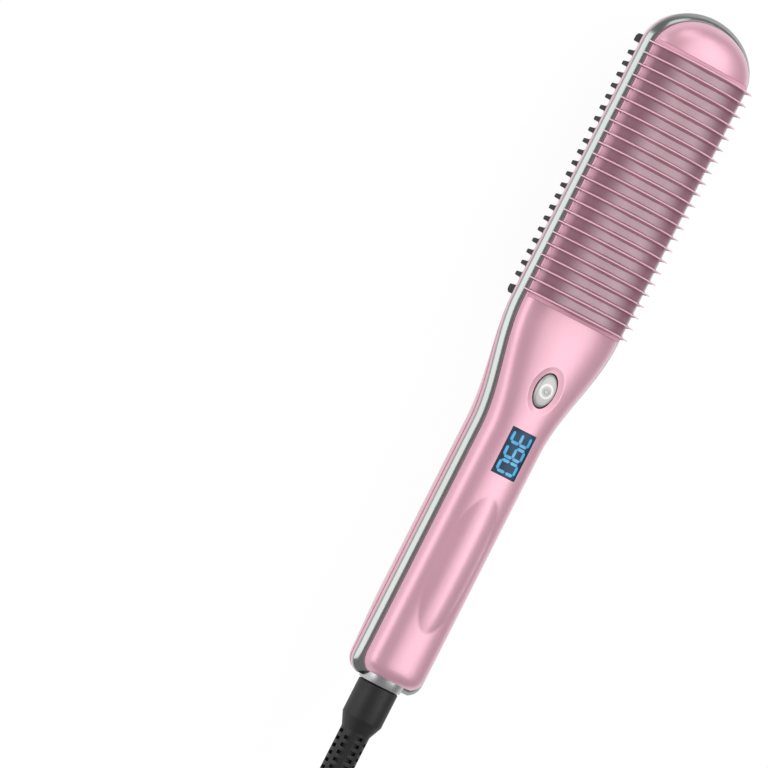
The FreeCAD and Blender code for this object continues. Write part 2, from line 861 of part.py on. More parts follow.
def make_heater_stack():
    """Heaters, film, clamp and shield under the plate, with the sensors between the heaters."""
    pitch = "(heater_length + heater_gap)"
    heaters = []
    for number in range(int(size.heater_count)):
        x = f"{HEATER_START} + {number} * {pitch}"
        heaters.append(block(
            f"heater_{number}", x, "0", HEATER_FLOOR, "heater_length", "heater_width", "heater_thickness",
        ))
    group("heater_elements", heaters)
    block(
        "insulation_film", HEATER_START, "0", f"{HEATER_FLOOR} - film_thickness",
        HEATER_SPAN, "pad_width - heater_gap", "film_thickness",
    )
    for label, width, thickness, floor in STACK_SHEETS:
        sheet_blank = block(f"{label}_blank", "plate_start", "0", floor, PLATE_LENGTH, width, thickness)
        holes = []
        for number, (x, y) in enumerate(HEATER_SCREWS):
            holes.append(rod(f"{label}_hole_{number}", UP, x, y, floor, PILOT, thickness))
        cut(label, sheet_blank, group(f"{label}_holes", holes))
    middle = f"{HEATER_FLOOR} + heater_thickness / 2"
    lead_start = "board_start + board_length - lead_overlap"
    side = "(pad_width / 2 - sensor_lead_radius)"
    inner = f"{side} - sensor_lead_radius - seat_clearance"
    for label, number, sign in (("thermistor", 1, 1), ("thermal_fuse", 2, -1)):
        x = f"{HEATER_START} + {number} * {pitch} - heater_gap / 2"
        axis = Vector(0, sign, 0)
        start = f"{sign} * ({inner} - sensor_length)"
        rod(label, axis, x, start, middle, "sensor_radius", "sensor_length")
        length = f"{x} + sensor_radius - ({lead_start})"
        rod(f"{label}_lead", ALONG, lead_start, f"{sign} * {side}", middle, "sensor_lead_radius", length)
    leads = []
    for sign in (1, -1):
        length = f"{HEATER_START} - seat_clearance - ({lead_start})"
        leads.append(rod(
            f"heater_lead_{sign + 2}", ALONG, lead_start, f"{sign} * lead_spread / 2", middle,
            "lead_radius", length,
        ))
    group("heater_leads", leads)


def make_cord_entry():
    """The turning boot with its core and rings, and the contacts that stand still."""
    fit = "core_radius + seat_clearance / 2"
    boot_end = "-(boot_straight + boot_taper + relief_length)"
    taper_end = "-(boot_straight + boot_taper)"
    boot = turned("cord_boot", [
        ("-moving_clearance", fit),
        ("-moving_clearance", "boot_radius"),
        ("-boot_straight", "boot_radius"),
        (taper_end, "relief_radius"),
        (boot_end, "relief_radius"),
        (boot_end, "relief_bore"),
        ("-core_insert", "relief_bore"),
        ("-core_insert", fit),
    ])
    slot_relief(boot)
    flange = "collar_length + moving_clearance"
    turned("swivel_core", [
        ("seat_clearance - core_insert", "core_bore"),
        ("seat_clearance - core_insert", "core_radius"),
        (flange, "core_radius"),
        (flange, "core_flange"),
        (f"{flange} + core_flange_length", "core_flange"),
        (f"{flange} + core_flange_length", "core_radius"),
        ("core_reach", "core_radius"),
        ("core_reach", "core_bore"),
    ])
    rings = []
    strips = []
    leads = []
    out = "ring_radius + running_clearance"
    holder_top = "-boot_axis - ring_radius - moving_clearance"
    lead_height = "board_floor - seat_clearance - lead_radius"
    for number, sign in enumerate((1, -1)):
        x = f"ring_start + {number} * ring_pitch"
        band = rod(f"ring_band_{number}", ALONG, x, "0", "-boot_axis", "ring_radius", "ring_length")
        hole = rod(f"ring_hole_{number}", ALONG, x, "0", "-boot_axis", fit, "ring_length")
        rings.append(cut(f"ring_{number}", band, hole))
        strips.append(block(
            f"contact_{number}", f"{x} + (ring_length - contact_width) / 2",
            f"{sign} * ({out} + contact_thickness / 2)", holder_top,
            "contact_width", "contact_thickness", "contact_length",
        ))
        leads.append(rod(
            f"mains_lead_{number}", ALONG, x,
            f"{sign} * ({out} + contact_thickness + seat_clearance + lead_radius)", lead_height,
            "lead_radius", f"board_start + lead_overlap - ({x})",
        ))
    group("slip_rings", rings)
    group("contact_springs", strips)
    group("mains_leads", leads)
    block(
        "contact_holder", "holder_start", "0", f"{holder_top} - holder_thickness",
        "holder_length", "holder_width", "holder_thickness",
    )


def slot_relief(boot):
    """Short slots in eight columns round the strain relief, every other column half a pitch on."""
    first = "-(boot_straight + boot_taper + slot_width)"
    between = f"{first} - slot_pitch / 2"
    for role, label, turn, start in (
        ("XZ_Plane", "upright", 0, first),
        ("XY_Plane", "level", 0, first),
        ("XZ_Plane", "rising", size.slot_turn, between),
        ("XY_Plane", "falling", size.slot_turn, between),
    ):
        for sign, edge in ((1, "top"), (-1, "bottom")):
            inner = f"{sign} * slot_web"
            outer = f"{sign} * (relief_radius + cut_overrun)"
            sketch = sketch_outline(boot, role, f"slot_{label}_{edge}", [
                (start, inner),
                (f"{start} - slot_width", inner),
                (f"{start} - slot_width", outer),
                (start, outer),
            ])
            sketch.AttachmentOffset.Rotation = FreeCAD.Rotation(Vector(1, 0, 0), turn)
            slot = boot.newObject("PartDesign::Pocket", f"slot_{label}_{edge}_cut")
            slot.Profile = sketch
            slot.Midplane = True
            bind(slot, {"Length": "slot_across"})
            pattern = boot.newObject("PartDesign::LinearPattern", f"slot_{label}_{edge}_row")
            pattern.Originals = [slot]
            pattern.Direction = (sketch, ["H_Axis"])
            pattern.Reversed = True
            bind(pattern, {"Length": "slot_pitch * (slot_count - 1)", "Occurrences": "slot_count"})
            boot.Tip = pattern
            doc.recompute()


def screw(name, x, y, seat, toward, length):
    """One screw: its head lies behind the seat, and its shank goes on from it."""
    axis = Vector(0, 0, toward)
    head = rod(f"{name}_head", -axis, x, y, seat, "screw_head", "screw_head_height")
    shank = rod(f"{name}_shank", axis, x, y, seat, "screw_radius", length)
    return fuse(name, [head, shank])


def make_screws():
    """Groups of like screws."""
    for label, places, seat, toward, length in SCREW_GROUPS:
        screws = []
        for number, (x, y) in enumerate(places):
            screws.append(screw(f"{label}_{number}", x, y, seat, toward, length))
        group(label, screws)


ALONG = Vector(1, 0, 0)
UP = Vector(0, 0, 1)
PILOT = "screw_radius + seat_clearance / 2"
BOARD_TOP = "board_floor + board_thickness"
PLATE_LENGTH = "((fin_count - 1) * fin_pitch + 2 * (fin_start - plate_start))"
HEATER_SPAN = "(heater_count * (heater_length + heater_gap) - heater_gap)"
HEATER_START = f"plate_start + ({PLATE_LENGTH} - {HEATER_SPAN}) / 2"
HEATER_FLOOR = "pad_floor - heater_thickness"
CLAMP_FLOOR = f"{HEATER_FLOOR} - film_thickness - clamp_thickness"
SHIELD_FLOOR = f"{CLAMP_FLOOR} - shield_thickness"
STACK_SHEETS = [
    ("heater_clamp", "pad_width", "clamp_thickness", CLAMP_FLOOR),
    ("heat_shield", "shield_width", "shield_thickness", SHIELD_FLOOR),
]
HEATER_SCREWS = [
    (x, f"{sign} * heater_screw_spread / 2")
    for x in ("plate_start + heater_screw_inset", f"plate_start + {PLATE_LENGTH} - heater_screw_inset")
    for sign in (1, -1)
]
BOARD_SCREWS = [
    ("board_screw_front", "0"),
    ("board_screw_rear", "board_screw_spread / 2"),
    ("board_screw_rear", "-board_screw_spread / 2"),
]
SHELL_SCREWS = [
    ("scallop_start", "0"),
    ("neck_screw", "neck_screw_spread / 2"),
    ("neck_screw", "-neck_screw_spread / 2"),
]
COMB_SCREWS = [
    (
        "tooth_start + fin_pitch * ((tooth_count - 1) / 2 + comb_screw_step"
        f" * ({number} - (comb_screw_count - 1) / 2))",
        "0",
    )
    for number in range(int(size.comb_screw_count))
]
SCREW_GROUPS = [
    ("shell_screws", SHELL_SCREWS, "-boss_split - boss_floor", 1, "screw_length"),
    ("comb_screws", COMB_SCREWS, "back_wall + seat_clearance - head_back_depth", -1, "comb_screw_length"),
    ("heater_screws", HEATER_SCREWS, SHIELD_FLOOR, 1, "screw_length"),
    ("board_screws", BOARD_SCREWS, "board_floor", 1, "board_screw_length"),
]
COMB_ROWS = [f"comb_row_{number + 1}" for number in range(int(size.row_count))]
SUB_PARTS = [
    "front_shell", "middle_frame", "rear_shell", "side_trim", "heating_plate", "comb_base", "cord_collar",
    "display_window", "display_module", "main_board", "filter_capacitor", "triac", "board_fuse",
    "power_button", "switch_plunger", "tact_switch", "heater_elements", "insulation_film",
    "heater_clamp", "heat_shield", "thermistor", "thermistor_lead", "thermal_fuse", "thermal_fuse_lead",
    "heater_leads", "cord_boot", "swivel_core", "slip_rings", "contact_springs", "contact_holder",
    "mains_leads", "shell_screws", "comb_screws", "heater_screws", "board_screws",
] + COMB_ROWS

comb_seat = form(size.comb_base, size.comb_base, size.comb_base)
shaped("front_shell", make_front_shell())
shaped("middle_frame", make_middle_frame())
shaped("rear_shell", make_rear_shell(comb_seat))
shaped("side_trim", make_side_trim())
shaped("heating_plate", make_heating_plate())
shaped("comb_base", make_comb_base(comb_seat))
for number, name in enumerate(COMB_ROWS):
    shaped(name, make_comb_row(number))
shaped("cord_collar", make_collar())
shaped("display_window", make_display_window())
make_board()
make_button()
make_heater_stack()
make_cord_entry()
make_screws()
doc.recompute()

for item in doc.Objects:
    if "Invalid" in item.State or "Error" in item.State:
        raise RuntimeError(f"{item.Name} failed to build")
for name in SUB_PARTS:
    item = doc.getObject(name)
    item.Label = name
    if item.Shape.isNull() or not item.Shape.isValid():
        raise RuntimeError(f"{name} has no valid shape")

os.makedirs("parts", exist_ok=True)
for name in SUB_PARTS:
    doc.getObject(name).Shape.exportStep(f"parts/{name}.step")
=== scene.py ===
"""Looks of the hair straightening brush, dressed on its CAD frame.

Lengths in the helpers are millimetres in the construction frame of the part's source; SHIFT moves
them to the shared frame.
"""
import json
import math

import bmesh
import bpy
import numpy as np
from mathutils import Matrix, Vector


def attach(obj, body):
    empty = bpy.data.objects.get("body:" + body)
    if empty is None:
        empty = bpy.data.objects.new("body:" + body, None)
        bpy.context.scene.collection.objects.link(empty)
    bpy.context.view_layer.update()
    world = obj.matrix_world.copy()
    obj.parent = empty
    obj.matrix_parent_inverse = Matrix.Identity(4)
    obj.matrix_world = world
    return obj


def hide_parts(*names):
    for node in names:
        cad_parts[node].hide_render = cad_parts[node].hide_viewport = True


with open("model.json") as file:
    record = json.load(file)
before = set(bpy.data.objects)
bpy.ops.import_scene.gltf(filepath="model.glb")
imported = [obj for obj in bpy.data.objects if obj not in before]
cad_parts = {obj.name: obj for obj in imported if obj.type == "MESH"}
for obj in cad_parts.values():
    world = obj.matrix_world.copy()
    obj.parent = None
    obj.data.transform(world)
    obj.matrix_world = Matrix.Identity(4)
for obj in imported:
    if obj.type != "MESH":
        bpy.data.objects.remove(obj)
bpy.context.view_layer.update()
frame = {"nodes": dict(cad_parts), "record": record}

MM = 0.001
SHIFT = np.array([-110.652, 0.0, 33.5])

# Casing, along its length and in section
END_FACE, END_ROUND = 1.3, 9.0
HEAD_ROUND, TIP, TRIM_TIP = 257.0, 276.0, 276.404
HANDLE_HALF, HEAD_GAIN = 15.6, 8.4
HANDLE_DEPTH, HEAD_RISE = 17.4, 4.8
ROOM_DEPTH, ROOM_RISE = 14.4, 1.8
FRONT_HEIGHT = 10.0
FRONT_POWER, BACK_POWER = 2.5, 2.7
STEP = 2.2  # how much narrower the front is than the back
WALL = 2.2

# Details of the front and the back
THUMB_X, THUMB_HALF, THUMB_RADIUS, THUMB_TOP = 53.25, 28.25, 12.95, 11.5
BUTTON_X, BUTTON_HALF = 125.0, (6.65, 4.1)
DISH_HALF, DISH_DEPTH = (9.7, 6.8), 1.25
DOME_TOP, DOME_RADIUS = 10.5, 26.0
FINGER_X, FINGER_PITCH, FINGER_WIDTH, FINGER_DEPTH = 39.8, 25.6, 22.0, 3.0
PITCH = 4.64  # of fins and teeth
PLATE_FOOT = 3.3
AXIS_Z = -2.5  # of the boot


# Form of the casing

def ease(share):
    share = np.clip(share, 0, 1)
    return share * share * (3 - 2 * share)


def superellipse(share, power):
    return (1 - share ** power) ** (1 / power)


def rounded(distance, length, power):
    return superellipse(1 - np.clip(distance / length, 0, 1), power)


def handle_end(x, inset):
    return rounded(x + 0.2 - inset, END_ROUND, 3.0)


def neck(x):
    return ease((x - 103.0) / 49.0)


def half_width(x, inset=0.0):
    full = HANDLE_HALF + HEAD_GAIN * neck(x) - inset
    return full * rounded(TIP - inset - x, 19.0 - inset, 2.0) * handle_end(x, inset)


def front_rise(x, wall=0.0, inset=0.0):
    return (FRONT_HEIGHT - wall) * rounded(TIP - inset - x, 13.0, 2.2) * handle_end(x, inset)


def back_taper(x):
    """The back comes up a little towards the handle's end."""
    return 0.82 + 0.18 * ease((x - END_FACE) / 32.0)


def back_fall(x, wall=0.0, inset=0.0):
    depth = (HANDLE_DEPTH - HEAD_RISE * neck(x)) * back_taper(x) - wall
    return depth * rounded(TIP - inset - x, 11.0, 2.2) * handle_end(x, inset)


def room_fall(x, wall=0.0, inset=0.0):
    """Depth of the hollow behind the finger scallops."""
    depth = (ROOM_DEPTH - ROOM_RISE * neck(x)) * back_taper(x) - wall
    return depth * rounded(TIP - inset - x, 11.0, 2.2) * handle_end(x, inset)


def front_at(x, y):
    """Height of the bare front surface, which is narrower than the back."""
    share = np.clip(np.abs(y) / half_width(x, STEP), 0, 1)
    return front_rise(x, 0.0, STEP) * superellipse(share, FRONT_POWER)


def back_at(y):
    """Depth of the back of the head."""
    return 12.6 * superellipse(abs(y) / 24.0, BACK_POWER)


def soft_max(a, b, blend):
    share = np.clip(0.5 + 0.5 * (a - b) / blend, 0, 1)
    return b + (a - b) * share + blend * share * (1 - share)


def front_shape(x, y, z):
    """Front details: the raised thumb rest and the dish round the button."""
    ball = THUMB_RADIUS ** 2 - y ** 2 - 36.6 * np.abs((x - THUMB_X) / THUMB_HALF) ** 3.2
    swell = THUMB_TOP - THUMB_RADIUS + np.sqrt(np.maximum(ball, 0))
    z = soft_max(z, swell, 0.1)
    rim = np.sqrt(((x - BUTTON_X) / DISH_HALF[0]) ** 2 + (y / DISH_HALF[1]) ** 2)
    bowl = DISH_DEPTH * (1 - np.clip(rim, 0, 1) ** 2.2)
    return np.where(rim < 1.0, z - bowl, z)


def back_shape(x, y, z):
    """Back details: four finger scallops with soft ridges. Depths count downwards here."""
    radius = (FINGER_WIDTH ** 2 / 4 + FINGER_DEPTH ** 2) / (2 * FINGER_DEPTH)
    for number in range(4):
        gap = radius ** 2 - (x - FINGER_X - FINGER_PITCH * number) ** 2
        if gap > 0:
            bottom = ROOM_DEPTH + radius - math.sqrt(gap)
            z = -soft_max(-z, -bottom, 1.6)
    return z


def furthest(near, far, holds, steps):
    """The last place between two at which a test holds, by halving."""
    for _ in range(steps):
        middle = (near + far) / 2
        near, far = (middle, far) if holds(middle) else (near, middle)
    return near


def reach(height, low, wall, inset):
    """Place near the tip where the section's height comes down to a level."""
    return furthest(250.0, TIP - inset, lambda x: height(x, wall, inset) > low, 60)


def stations(start, stop, fine):
    """Places along the casing, closer together where it has detail."""
    if not fine:
        middle = np.linspace(start + END_ROUND, HEAD_ROUND, 26)[:-1]
        end = start + END_ROUND * np.linspace(0, 1, 7)[:-1] ** 2
        tip = HEAD_ROUND + (stop - HEAD_ROUND) * np.sin(np.linspace(0, math.pi / 2, 14))
        return np.concatenate([end, middle, tip])
    end = start + END_ROUND * np.linspace(0, 1, 20)[:-1] ** 2
    runs = ((start + END_ROUND, 24.0, 12), (24.0, 83.0, 100), (83.0, 114.0, 34), (114.0, 136.0, 62))
    runs += ((136.0, 153.0, 17), (153.0, HEAD_ROUND, 65))
    middle = [np.linspace(low, high, count, endpoint=False) for low, high, count in runs]
    tip = HEAD_ROUND + (stop - HEAD_ROUND) * np.sin(np.linspace(0, math.pi / 2, 40))
    return np.concatenate([end, *middle, tip])


def arc(half, height, power, low, count):
    """A section's arc above a level, from the left side to the right."""
    side = half * max(1 - (low / height) ** power, 0.0) ** (1 / power)
    first = math.atan2(low, side)
    angle = first + (math.pi - 2 * first) * np.linspace(0, 1, count)
    across, up = np.cos(angle), np.sin(angle)
    radius = ((np.abs(across) / half) ** power + (up / height) ** power) ** (-1 / power)
    return radius * across, radius * up


def half_casing(sign, low, height, power, count, inset=0.0, wall=0.0, shape=None, edge=0.28):
    """Rings of a closed half of the casing beyond a level, with its edge rounded over."""
    rings = []
    for x in stations(END_FACE + inset, reach(height, low + edge, wall, inset), shape is not None):
        y, z = arc(half_width(x, inset), height(x, wall, inset), power, low + edge, count)
        if shape:
            z = shape(x, y, z)
        lip = min(edge, 0.4 * abs(y[0]))
        y = np.concatenate([[y[0] - lip, y[0] - 0.3 * lip], y, [y[-1] + 0.3 * lip, y[-1] + lip]])
        z = np.concatenate([[low, low + 0.3 * edge], z, [low + 0.3 * edge, low]])
        rings.append(np.stack([np.full(len(y), x), y, sign * z], axis=1))
    return np.array(rings)


def outline(level, inset, flat=False):
    """The casing's outline at a level, from the handle's end round the tip and back."""
    height, power = (front_rise, FRONT_POWER) if level > 0 else (back_fall, BACK_POWER)
    stop = TIP - inset if flat else reach(height, abs(level), 0.0, inset)
    x = stations(END_FACE + inset, stop, True)
    side = half_width(x, inset)
    if not flat:
        share = np.clip(abs(level) / np.maximum(height(x, 0.0, inset), 1e-9), 0, 1)
        side = side * superellipse(share, power)
    x = np.minimum(x, TRIM_TIP)
    left = np.stack([x, side, np.full(len(x), level)], axis=1)
    right = left[-2::-1] * np.array([1, -1, 1])
    return np.concatenate([left, right])


# Meshes

def grid(rings, wrap_rings=False, caps=True):
    """Points and faces of a closed body from rings of points."""
    rings = np.asarray(rings, float)
    count, around, _ = rings.shape
    faces = []
    for i in range(count if wrap_rings else count - 1):
        j = (i + 1) % count
        for k in range(around):
            m = (k + 1) % around
            faces.append((i * around + k, j * around + k, j * around + m, i * around + m))
    if caps and not wrap_rings:
        faces.append(tuple(range(around)))
        faces.append(tuple(range((count - 1) * around, count * around)))
    return rings.reshape(-1, 3), faces


def joined(parts):
    """Several bodies of points and faces as one."""
    points, faces, base = [], [], 0
    for more, sides in parts:
        points.append(np.asarray(more, float))
        faces += [tuple(i + base for i in side) for side in sides]
        base += len(more)
    return np.concatenate(points), faces


def box(low, high):
    x, y, z = zip(low, high)
    corners = [(i, j, k) for i in x for j in y for k in z]
    sides = [(0, 1, 3, 2), (4, 6, 7, 5), (0, 4, 5, 1), (2, 3, 7, 6), (0, 2, 6, 4), (1, 5, 7, 3)]
    return np.array(corners, float), sides


def circle(count):
    return np.linspace(0, 2 * math.pi, count, endpoint=False)


def lathe(profile, segments, axis="X"):
    """A body turned from a profile of (along, radius), about the boot's axis or an upright one."""
    angle = circle(segments)
    rings = []
    for along, radius in profile:
        a, b = radius * np.cos(angle), radius * np.sin(angle)
        place = np.full(segments, along)
        rings.append(np.stack([place, a, b + AXIS_Z] if axis == "X" else [a, b, place], axis=1))
    return np.array(rings)


def upright(x, y, low, high):
    """A block with the given outline between two levels."""
    return grid([np.stack([x, y, np.full(len(x), z)], axis=1) for z in (low, high)])


def mesh_object(name, body):
    """An object from points and faces, without doubles and with its faces turned outward."""
    points, faces = body
    mesh = bpy.data.meshes.new(name)
    mesh.from_pydata(((points + SHIFT) * MM).tolist(), [], faces)
    work = bmesh.new()
    work.from_mesh(mesh)
    bmesh.ops.remove_doubles(work, verts=work.verts, dist=1e-7)
    bmesh.ops.dissolve_degenerate(work, edges=work.edges, dist=1e-7)
    bmesh.ops.recalc_face_normals(work, faces=work.faces)
    work.to_mesh(mesh)
    work.free()
    item = bpy.data.objects.new(name, mesh)
    bpy.context.scene.collection.objects.link(item)
    return item


def applied(item):
    """The object's mesh with its modifiers applied."""
    graph = bpy.context.evaluated_depsgraph_get()
    mesh = bpy.data.meshes.new_from_object(item.evaluated_get(graph))
    item.modifiers.clear()
    item.data = mesh


def carve(item, bodies):
    """Cuts bodies out of an object, one after the other."""
    for body in bodies:
        cutter = mesh_object("cutter", body)
        step = item.modifiers.new("cut", "BOOLEAN")
        step.operation = "DIFFERENCE"
        step.solver = "EXACT"
        step.object = cutter
        bpy.context.view_layer.update()
        applied(item)
        bpy.data.objects.remove(cutter)


def bevelled(item, width, segments=2, angle=35):
    step = item.modifiers.new("bevel", "BEVEL")
    step.width = width * MM
    step.segments = segments
    step.limit_method = "ANGLE"
    step.angle_limit = math.radians(angle)
    bpy.context.view_layer.update()
    applied(item)


def dress(item, material, body="housing", nodes=(), angle=32):
    """Gives a piece its material, smooth shading, its CAD body and the nodes that it stands for."""
    mesh = item.data
    mesh.materials.clear()
    mesh.materials.append(material)
    mesh.polygons.foreach_set("use_smooth", [True] * len(mesh.polygons))
    mesh.set_sharp_from_angle(angle=math.radians(angle))
    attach(item, body)
    if nodes:
        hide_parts(*nodes)
    return item


# Materials

MIX_SHARE, MIX_FIRST, MIX_SECOND, MIX_RESULT = 0, 6, 7, 2  # colour sockets of the Mix node


def linear(colour):
    """An sRGB colour of 0 to 255 as linear values with full alpha."""
    values = [c / 255 for c in colour]
    return [c / 12.92 if c <= 0.04045 else ((c + 0.055) / 1.055) ** 2.4 for c in values] + [1.0]


def set_sockets(node, **values):
    """Sets constant inputs of a node; an underscore stands for a space."""
    for socket, value in values.items():
        node.inputs[socket.replace("_", " ")].default_value = value
    return node


def finish(name, dark, light, rough, grain, bump=0.0, stretch=(1, 1, 1), patch=12.0, zones=(), **sockets):
    """A material whose colour drifts between two tones and whose roughness and bump follow a grain.

    The grain and the patches of colour are sized in millimetres. A zone (axis, start, stop, colour) blends
    another colour in along an axis, in metres; Y counts both ways.
    """
    made = bpy.data.materials.new(name)
    made.use_nodes = True
    tree = made.node_tree
    shader = set_sockets(tree.nodes["Principled BSDF"], **sockets)
    where = tree.nodes.new("ShaderNodeTexCoord")
    scale = set_sockets(tree.nodes.new("ShaderNodeMapping"), Scale=stretch)
    tree.links.new(where.outputs["Object"], scale.inputs["Vector"])
    drift = set_sockets(tree.nodes.new("ShaderNodeTexNoise"), Scale=1000 / patch, Detail=3.0)
    tones = tree.nodes.new("ShaderNodeValToRGB")
    for element, position, tone in zip(tones.color_ramp.elements, (0.3, 0.7), (dark, light)):
        element.position = position
        element.color = linear(tone)
    fine = set_sockets(tree.nodes.new("ShaderNodeTexNoise"), Scale=1000 / grain, Detail=4.0)
    spread = set_sockets(tree.nodes.new("ShaderNodeMapRange"), To_Min=rough[0], To_Max=rough[1])
    for texture in (drift, fine):
        tree.links.new(scale.outputs["Vector"], texture.inputs["Vector"])
    tree.links.new(drift.outputs["Fac"], tones.inputs["Fac"])
    colour = tones.outputs["Color"]
    if zones:
        split = tree.nodes.new("ShaderNodeSeparateXYZ")
        tree.links.new(where.outputs["Object"], split.inputs["Vector"])
    for axis, start, stop, tone in zones:
        place = split.outputs[axis]
        if axis == "Y":
            size = tree.nodes.new("ShaderNodeMath")
            size.operation = "ABSOLUTE"
            tree.links.new(place, size.inputs[0])
            place = size.outputs["Value"]
        share = set_sockets(tree.nodes.new("ShaderNodeMapRange"), From_Min=start, From_Max=stop)
        share.interpolation_type = "SMOOTHSTEP"
        tree.links.new(place, share.inputs["Value"])
        blend = tree.nodes.new("ShaderNodeMix")
        blend.data_type = "RGBA"
        blend.inputs[MIX_SECOND].default_value = linear(tone)
        tree.links.new(share.outputs["Result"], blend.inputs[MIX_SHARE])
        tree.links.new(colour, blend.inputs[MIX_FIRST])
        colour = blend.outputs[MIX_RESULT]
    tree.links.new(colour, shader.inputs["Base Color"])
    tree.links.new(fine.outputs["Fac"], spread.inputs["Value"])
    tree.links.new(spread.outputs["Result"], shader.inputs["Roughness"])
    if bump:
        relief = set_sockets(tree.nodes.new("ShaderNodeBump"), Strength=bump, Distance=0.05 * MM)
        tree.links.new(fine.outputs["Fac"], relief.inputs["Height"])
        tree.links.new(relief.outputs["Normal"], shader.inputs["Normal"])
    return made


PINK = finish("pearl_pink", (222, 167, 185), (228, 173, 191), (0.36, 0.42), 0.35, 0.02, patch=30.0,
              Metallic=0.46, Coat_Weight=1.0, Coat_Roughness=0.3)
# Painted shade: the plate darkens towards its sides, where the fins shade it. The pink at its outer edges and
# at both ends carries on the casing's pink, and in part is painted reflection.
PLATE = finish("mauve_coat_painted_shade", (240, 219, 227), (247, 227, 234), (0.52, 0.64), 0.2, 0.1, patch=9.0,
               zones=(("Y", 0.006, 0.0165, (160, 119, 134)), ("Y", 0.0190, 0.0216, (232, 180, 199)),
                      ("X", 0.1470, 0.1474, (236, 180, 200)), ("X", 0.0446, 0.0442, (236, 180, 200))),
               Specular_IOR_Level=0.3)
# Painted light on the fins: their flanks take a darker pink as painted shade, and a brighter copy over each
# fin's top edge is a painted highlight.
FIN = finish("fin_flank_painted_shade", (186, 134, 153), (198, 148, 166), (0.34, 0.44), 0.2, 0.08, patch=9.0,
             Metallic=0.2)
RIM = finish("fin_rim_painted_highlight", (244, 192, 210), (250, 204, 220), (0.24, 0.34), 0.2, 0.04, patch=9.0)
TRIM = finish("bright_strip", (146, 151, 149), (157, 162, 160), (0.16, 0.24), 0.15, 0.05, (0.06, 1, 1),
              Metallic=1.0)
COMB = finish("satin_black", (14, 13, 15), (21, 19, 22), (0.45, 0.58), 0.25, 0.25, patch=5.0,
              Specular_IOR_Level=0.3)
BOOT = finish("matt_black_rubber", (13, 13, 14), (20, 20, 21), (0.46, 0.6), 0.22, 0.4, patch=4.0)
SILVER = finish("satin_silver", (176, 178, 180), (196, 198, 200), (0.28, 0.38), 0.12, 0.12, Metallic=1.0)
CAP = finish("button_silver", (184, 184, 183), (197, 197, 196), (0.34, 0.44), 0.12, 0.05, Metallic=0.35)
INLAY = finish("button_white", (246, 246, 245), (252, 252, 251), (0.34, 0.42), 0.2, 0.03)
GREY = finish("button_grey", (194, 194, 193), (205, 205, 204), (0.36, 0.46), 0.15, 0.05, Metallic=0.2)
MARK = finish("icon_grey", (140, 138, 140), (154, 152, 154), (0.3, 0.4), 0.15, 0.04)
# A dark ring round the power button's hole: painted shade in the gap.
GAP_RING_SHADE = finish("button_gap_painted_shade", (30, 24, 27), (40, 33, 36), (0.4, 0.55), 0.2, 0.2)
# A dark mauve for the crevice beside the side strip: painted shade.
GAP_SHADE_TONE = finish("strip_gap_painted_shade", (138, 102, 115), (154, 116, 129), (0.4, 0.52), 0.3, 0.05)
LCD = finish("display_navy", (18, 44, 62), (22, 74, 106), (0.2, 0.28), 1.0, 0.0, patch=9.0,
             Specular_IOR_Level=0.25)
DIGIT = finish("display_blue", (54, 150, 202), (80, 174, 220), (0.1, 0.18), 1.0, 0.0, patch=2.0,
               Emission_Color=(0.06, 0.42, 0.85, 1.0), Emission_Strength=0.15)
BY_SLOT = {
    "pink_plastic": PINK,
    "bright_trim": TRIM,
    "coated_plate": PLATE,
    "black_plastic": COMB,
    "window": LCD,
    "display": finish("module_navy", (14, 26, 40), (22, 38, 56), (0.2, 0.3), 0.4, 0.05),
    "button_chrome": CAP,
    "satin_silver": SILVER,
    "boot_rubber": BOOT,
    "board": finish("solder_resist", (16, 74, 40), (26, 92, 52), (0.3, 0.42), 0.5, 0.15, patch=6.0),
    "component": finish("moulded_black", (34, 34, 36), (48, 48, 50), (0.45, 0.6), 0.25, 0.3, patch=3.0),
    "ceramic_heater": finish("ceramic", (196, 190, 180), (218, 212, 202), (0.5, 0.65), 0.3, 0.25, patch=4.0),
    "film": finish("amber_film", (186, 110, 30), (206, 132, 46), (0.2, 0.32), 0.5, 0.05, patch=8.0),
    "mica": finish("mica_sheet", (176, 164, 132), (204, 192, 160), (0.35, 0.55), 1.2, 0.2, patch=7.0),
    "bare_aluminium": finish("milled_aluminium", (188, 189, 190), (208, 209, 210), (0.28, 0.42), 0.2, 0.15,
                             (0.1, 1, 1), Metallic=1.0),
    "contact_brass": finish("brass", (196, 156, 74), (222, 184, 98), (0.2, 0.34), 0.2, 0.1, Metallic=1.0),
    "lead_silicone": finish("silicone", (170, 30, 28), (192, 44, 40), (0.4, 0.55), 0.3, 0.15, patch=5.0),
    "screw_steel": finish("zinc_steel", (168, 170, 172), (190, 192, 194), (0.25, 0.4), 0.2, 0.15,
                          Metallic=1.0),
}


# Casing

cone = grid(lathe([(-1.0, 8.342), (7.7, 9.716)], 128))
plate_box = box((153.3, -40, 3.2), (259.58, 40, 20))
window_box = box((89.7, -5.45, 6), (108.3, 5.45, 20))
well_angle = circle(96)
button_well = upright(BUTTON_X + 7.0 * np.cos(well_angle), 4.45 * np.sin(well_angle), 5.0, 20.0)


def comb_block(margin, low, high):
    """The comb's outline as an upright block."""
    angle = np.linspace(-math.pi / 2, math.pi / 2, 41)
    half, round_end = 15.0 + margin, 10.0 + margin
    x = np.concatenate([258.0 + round_end * np.cos(angle), 154.6 - round_end * np.cos(angle)])
    y = np.concatenate([half * np.sin(angle), -half * np.sin(angle)])
    return upright(x, y, low, high)


front_rings = half_casing(1, 1.8, front_rise, FRONT_POWER, 150, STEP, shape=front_shape)
front = mesh_object("front_casing", grid(front_rings))
front_room = grid(half_casing(1, 0.4, front_rise, FRONT_POWER, 26, STEP + WALL, WALL, edge=0.1))
carve(front, [front_room, plate_box, window_box, button_well, cone])
dress(front, PINK, nodes=["front_shell"])

